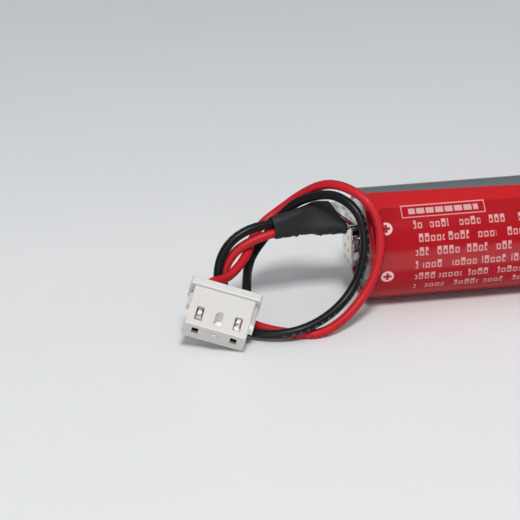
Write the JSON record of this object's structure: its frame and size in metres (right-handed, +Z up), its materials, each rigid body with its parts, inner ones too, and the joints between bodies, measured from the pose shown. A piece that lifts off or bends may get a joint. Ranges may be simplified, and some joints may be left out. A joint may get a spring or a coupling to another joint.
{
  "type": "cylindrical battery cell with plug",
  "caption": "Cylindrical cell in a glossy red sleeve; tabs at its button end run into a black heat-shrink tube, from which a red and a black lead loop to a white nylon wire-to-board plug.",
  "frame": {"origin": "on the surface it lies on, under the middle of the cell with its tabs and heat-shrink tube", "axes": "+X along the cell from its positive to its negative end, +Y away from the side the plug lies on, +Z up"},
  "size_m": [0.0741, 0.0232, 0.0174],
  "materials": {
    "sleeve_red": "glossy printed shrink film",
    "can_steel": "satin nickel plate",
    "nickel_tab": "bright rolled nickel",
    "insulating_board": "matt fibre board",
    "glass_seal": "fused glass",
    "lithium_foil": "dull foil",
    "glass_fibre": "matt felt",
    "carbon_black": "porous pressed carbon",
    "shrink_black": "satin polyolefin",
    "lead_red": "semi-gloss insulation",
    "lead_black": "semi-gloss insulation",
    "tinned_copper": "tinned strands",
    "solder": "bright solder",
    "nylon_white": "semi-matt nylon",
    "tin_plate": "bright tin plate",
    "slip_film": "polyimide film"
  },
  "bodies": {
    "root": {"outer_sleeve": "sleeve_red", "can": "can_steel", "end_disc": "insulating_board", "lid": "can_steel", "glass_seal": "glass_seal", "insulating_washer": "insulating_board", "positive_cap": "can_steel", "lithium_anode": "lithium_foil", "separator_tube": "glass_fibre", "separator_base": "glass_fibre", "separator_cover": "glass_fibre", "carbon_cathode": "carbon_black", "current_collector": "nickel_tab", "terminal_pin": "nickel_tab", "positive_tab": "nickel_tab", "negative_strip": "nickel_tab", "insulating_slip": "slip_film", "heat_shrink_tube": "shrink_black", "red_joint": "solder", "black_joint": "solder", "red_lead": "lead_red", "black_lead": "lead_black", "red_conductor_ends": "tinned_copper", "black_conductor_ends": "tinned_copper", "plug_housing": "nylon_white", "left_contact": "tin_plate", "right_contact": "tin_plate"}
  },
  "joints": []
}
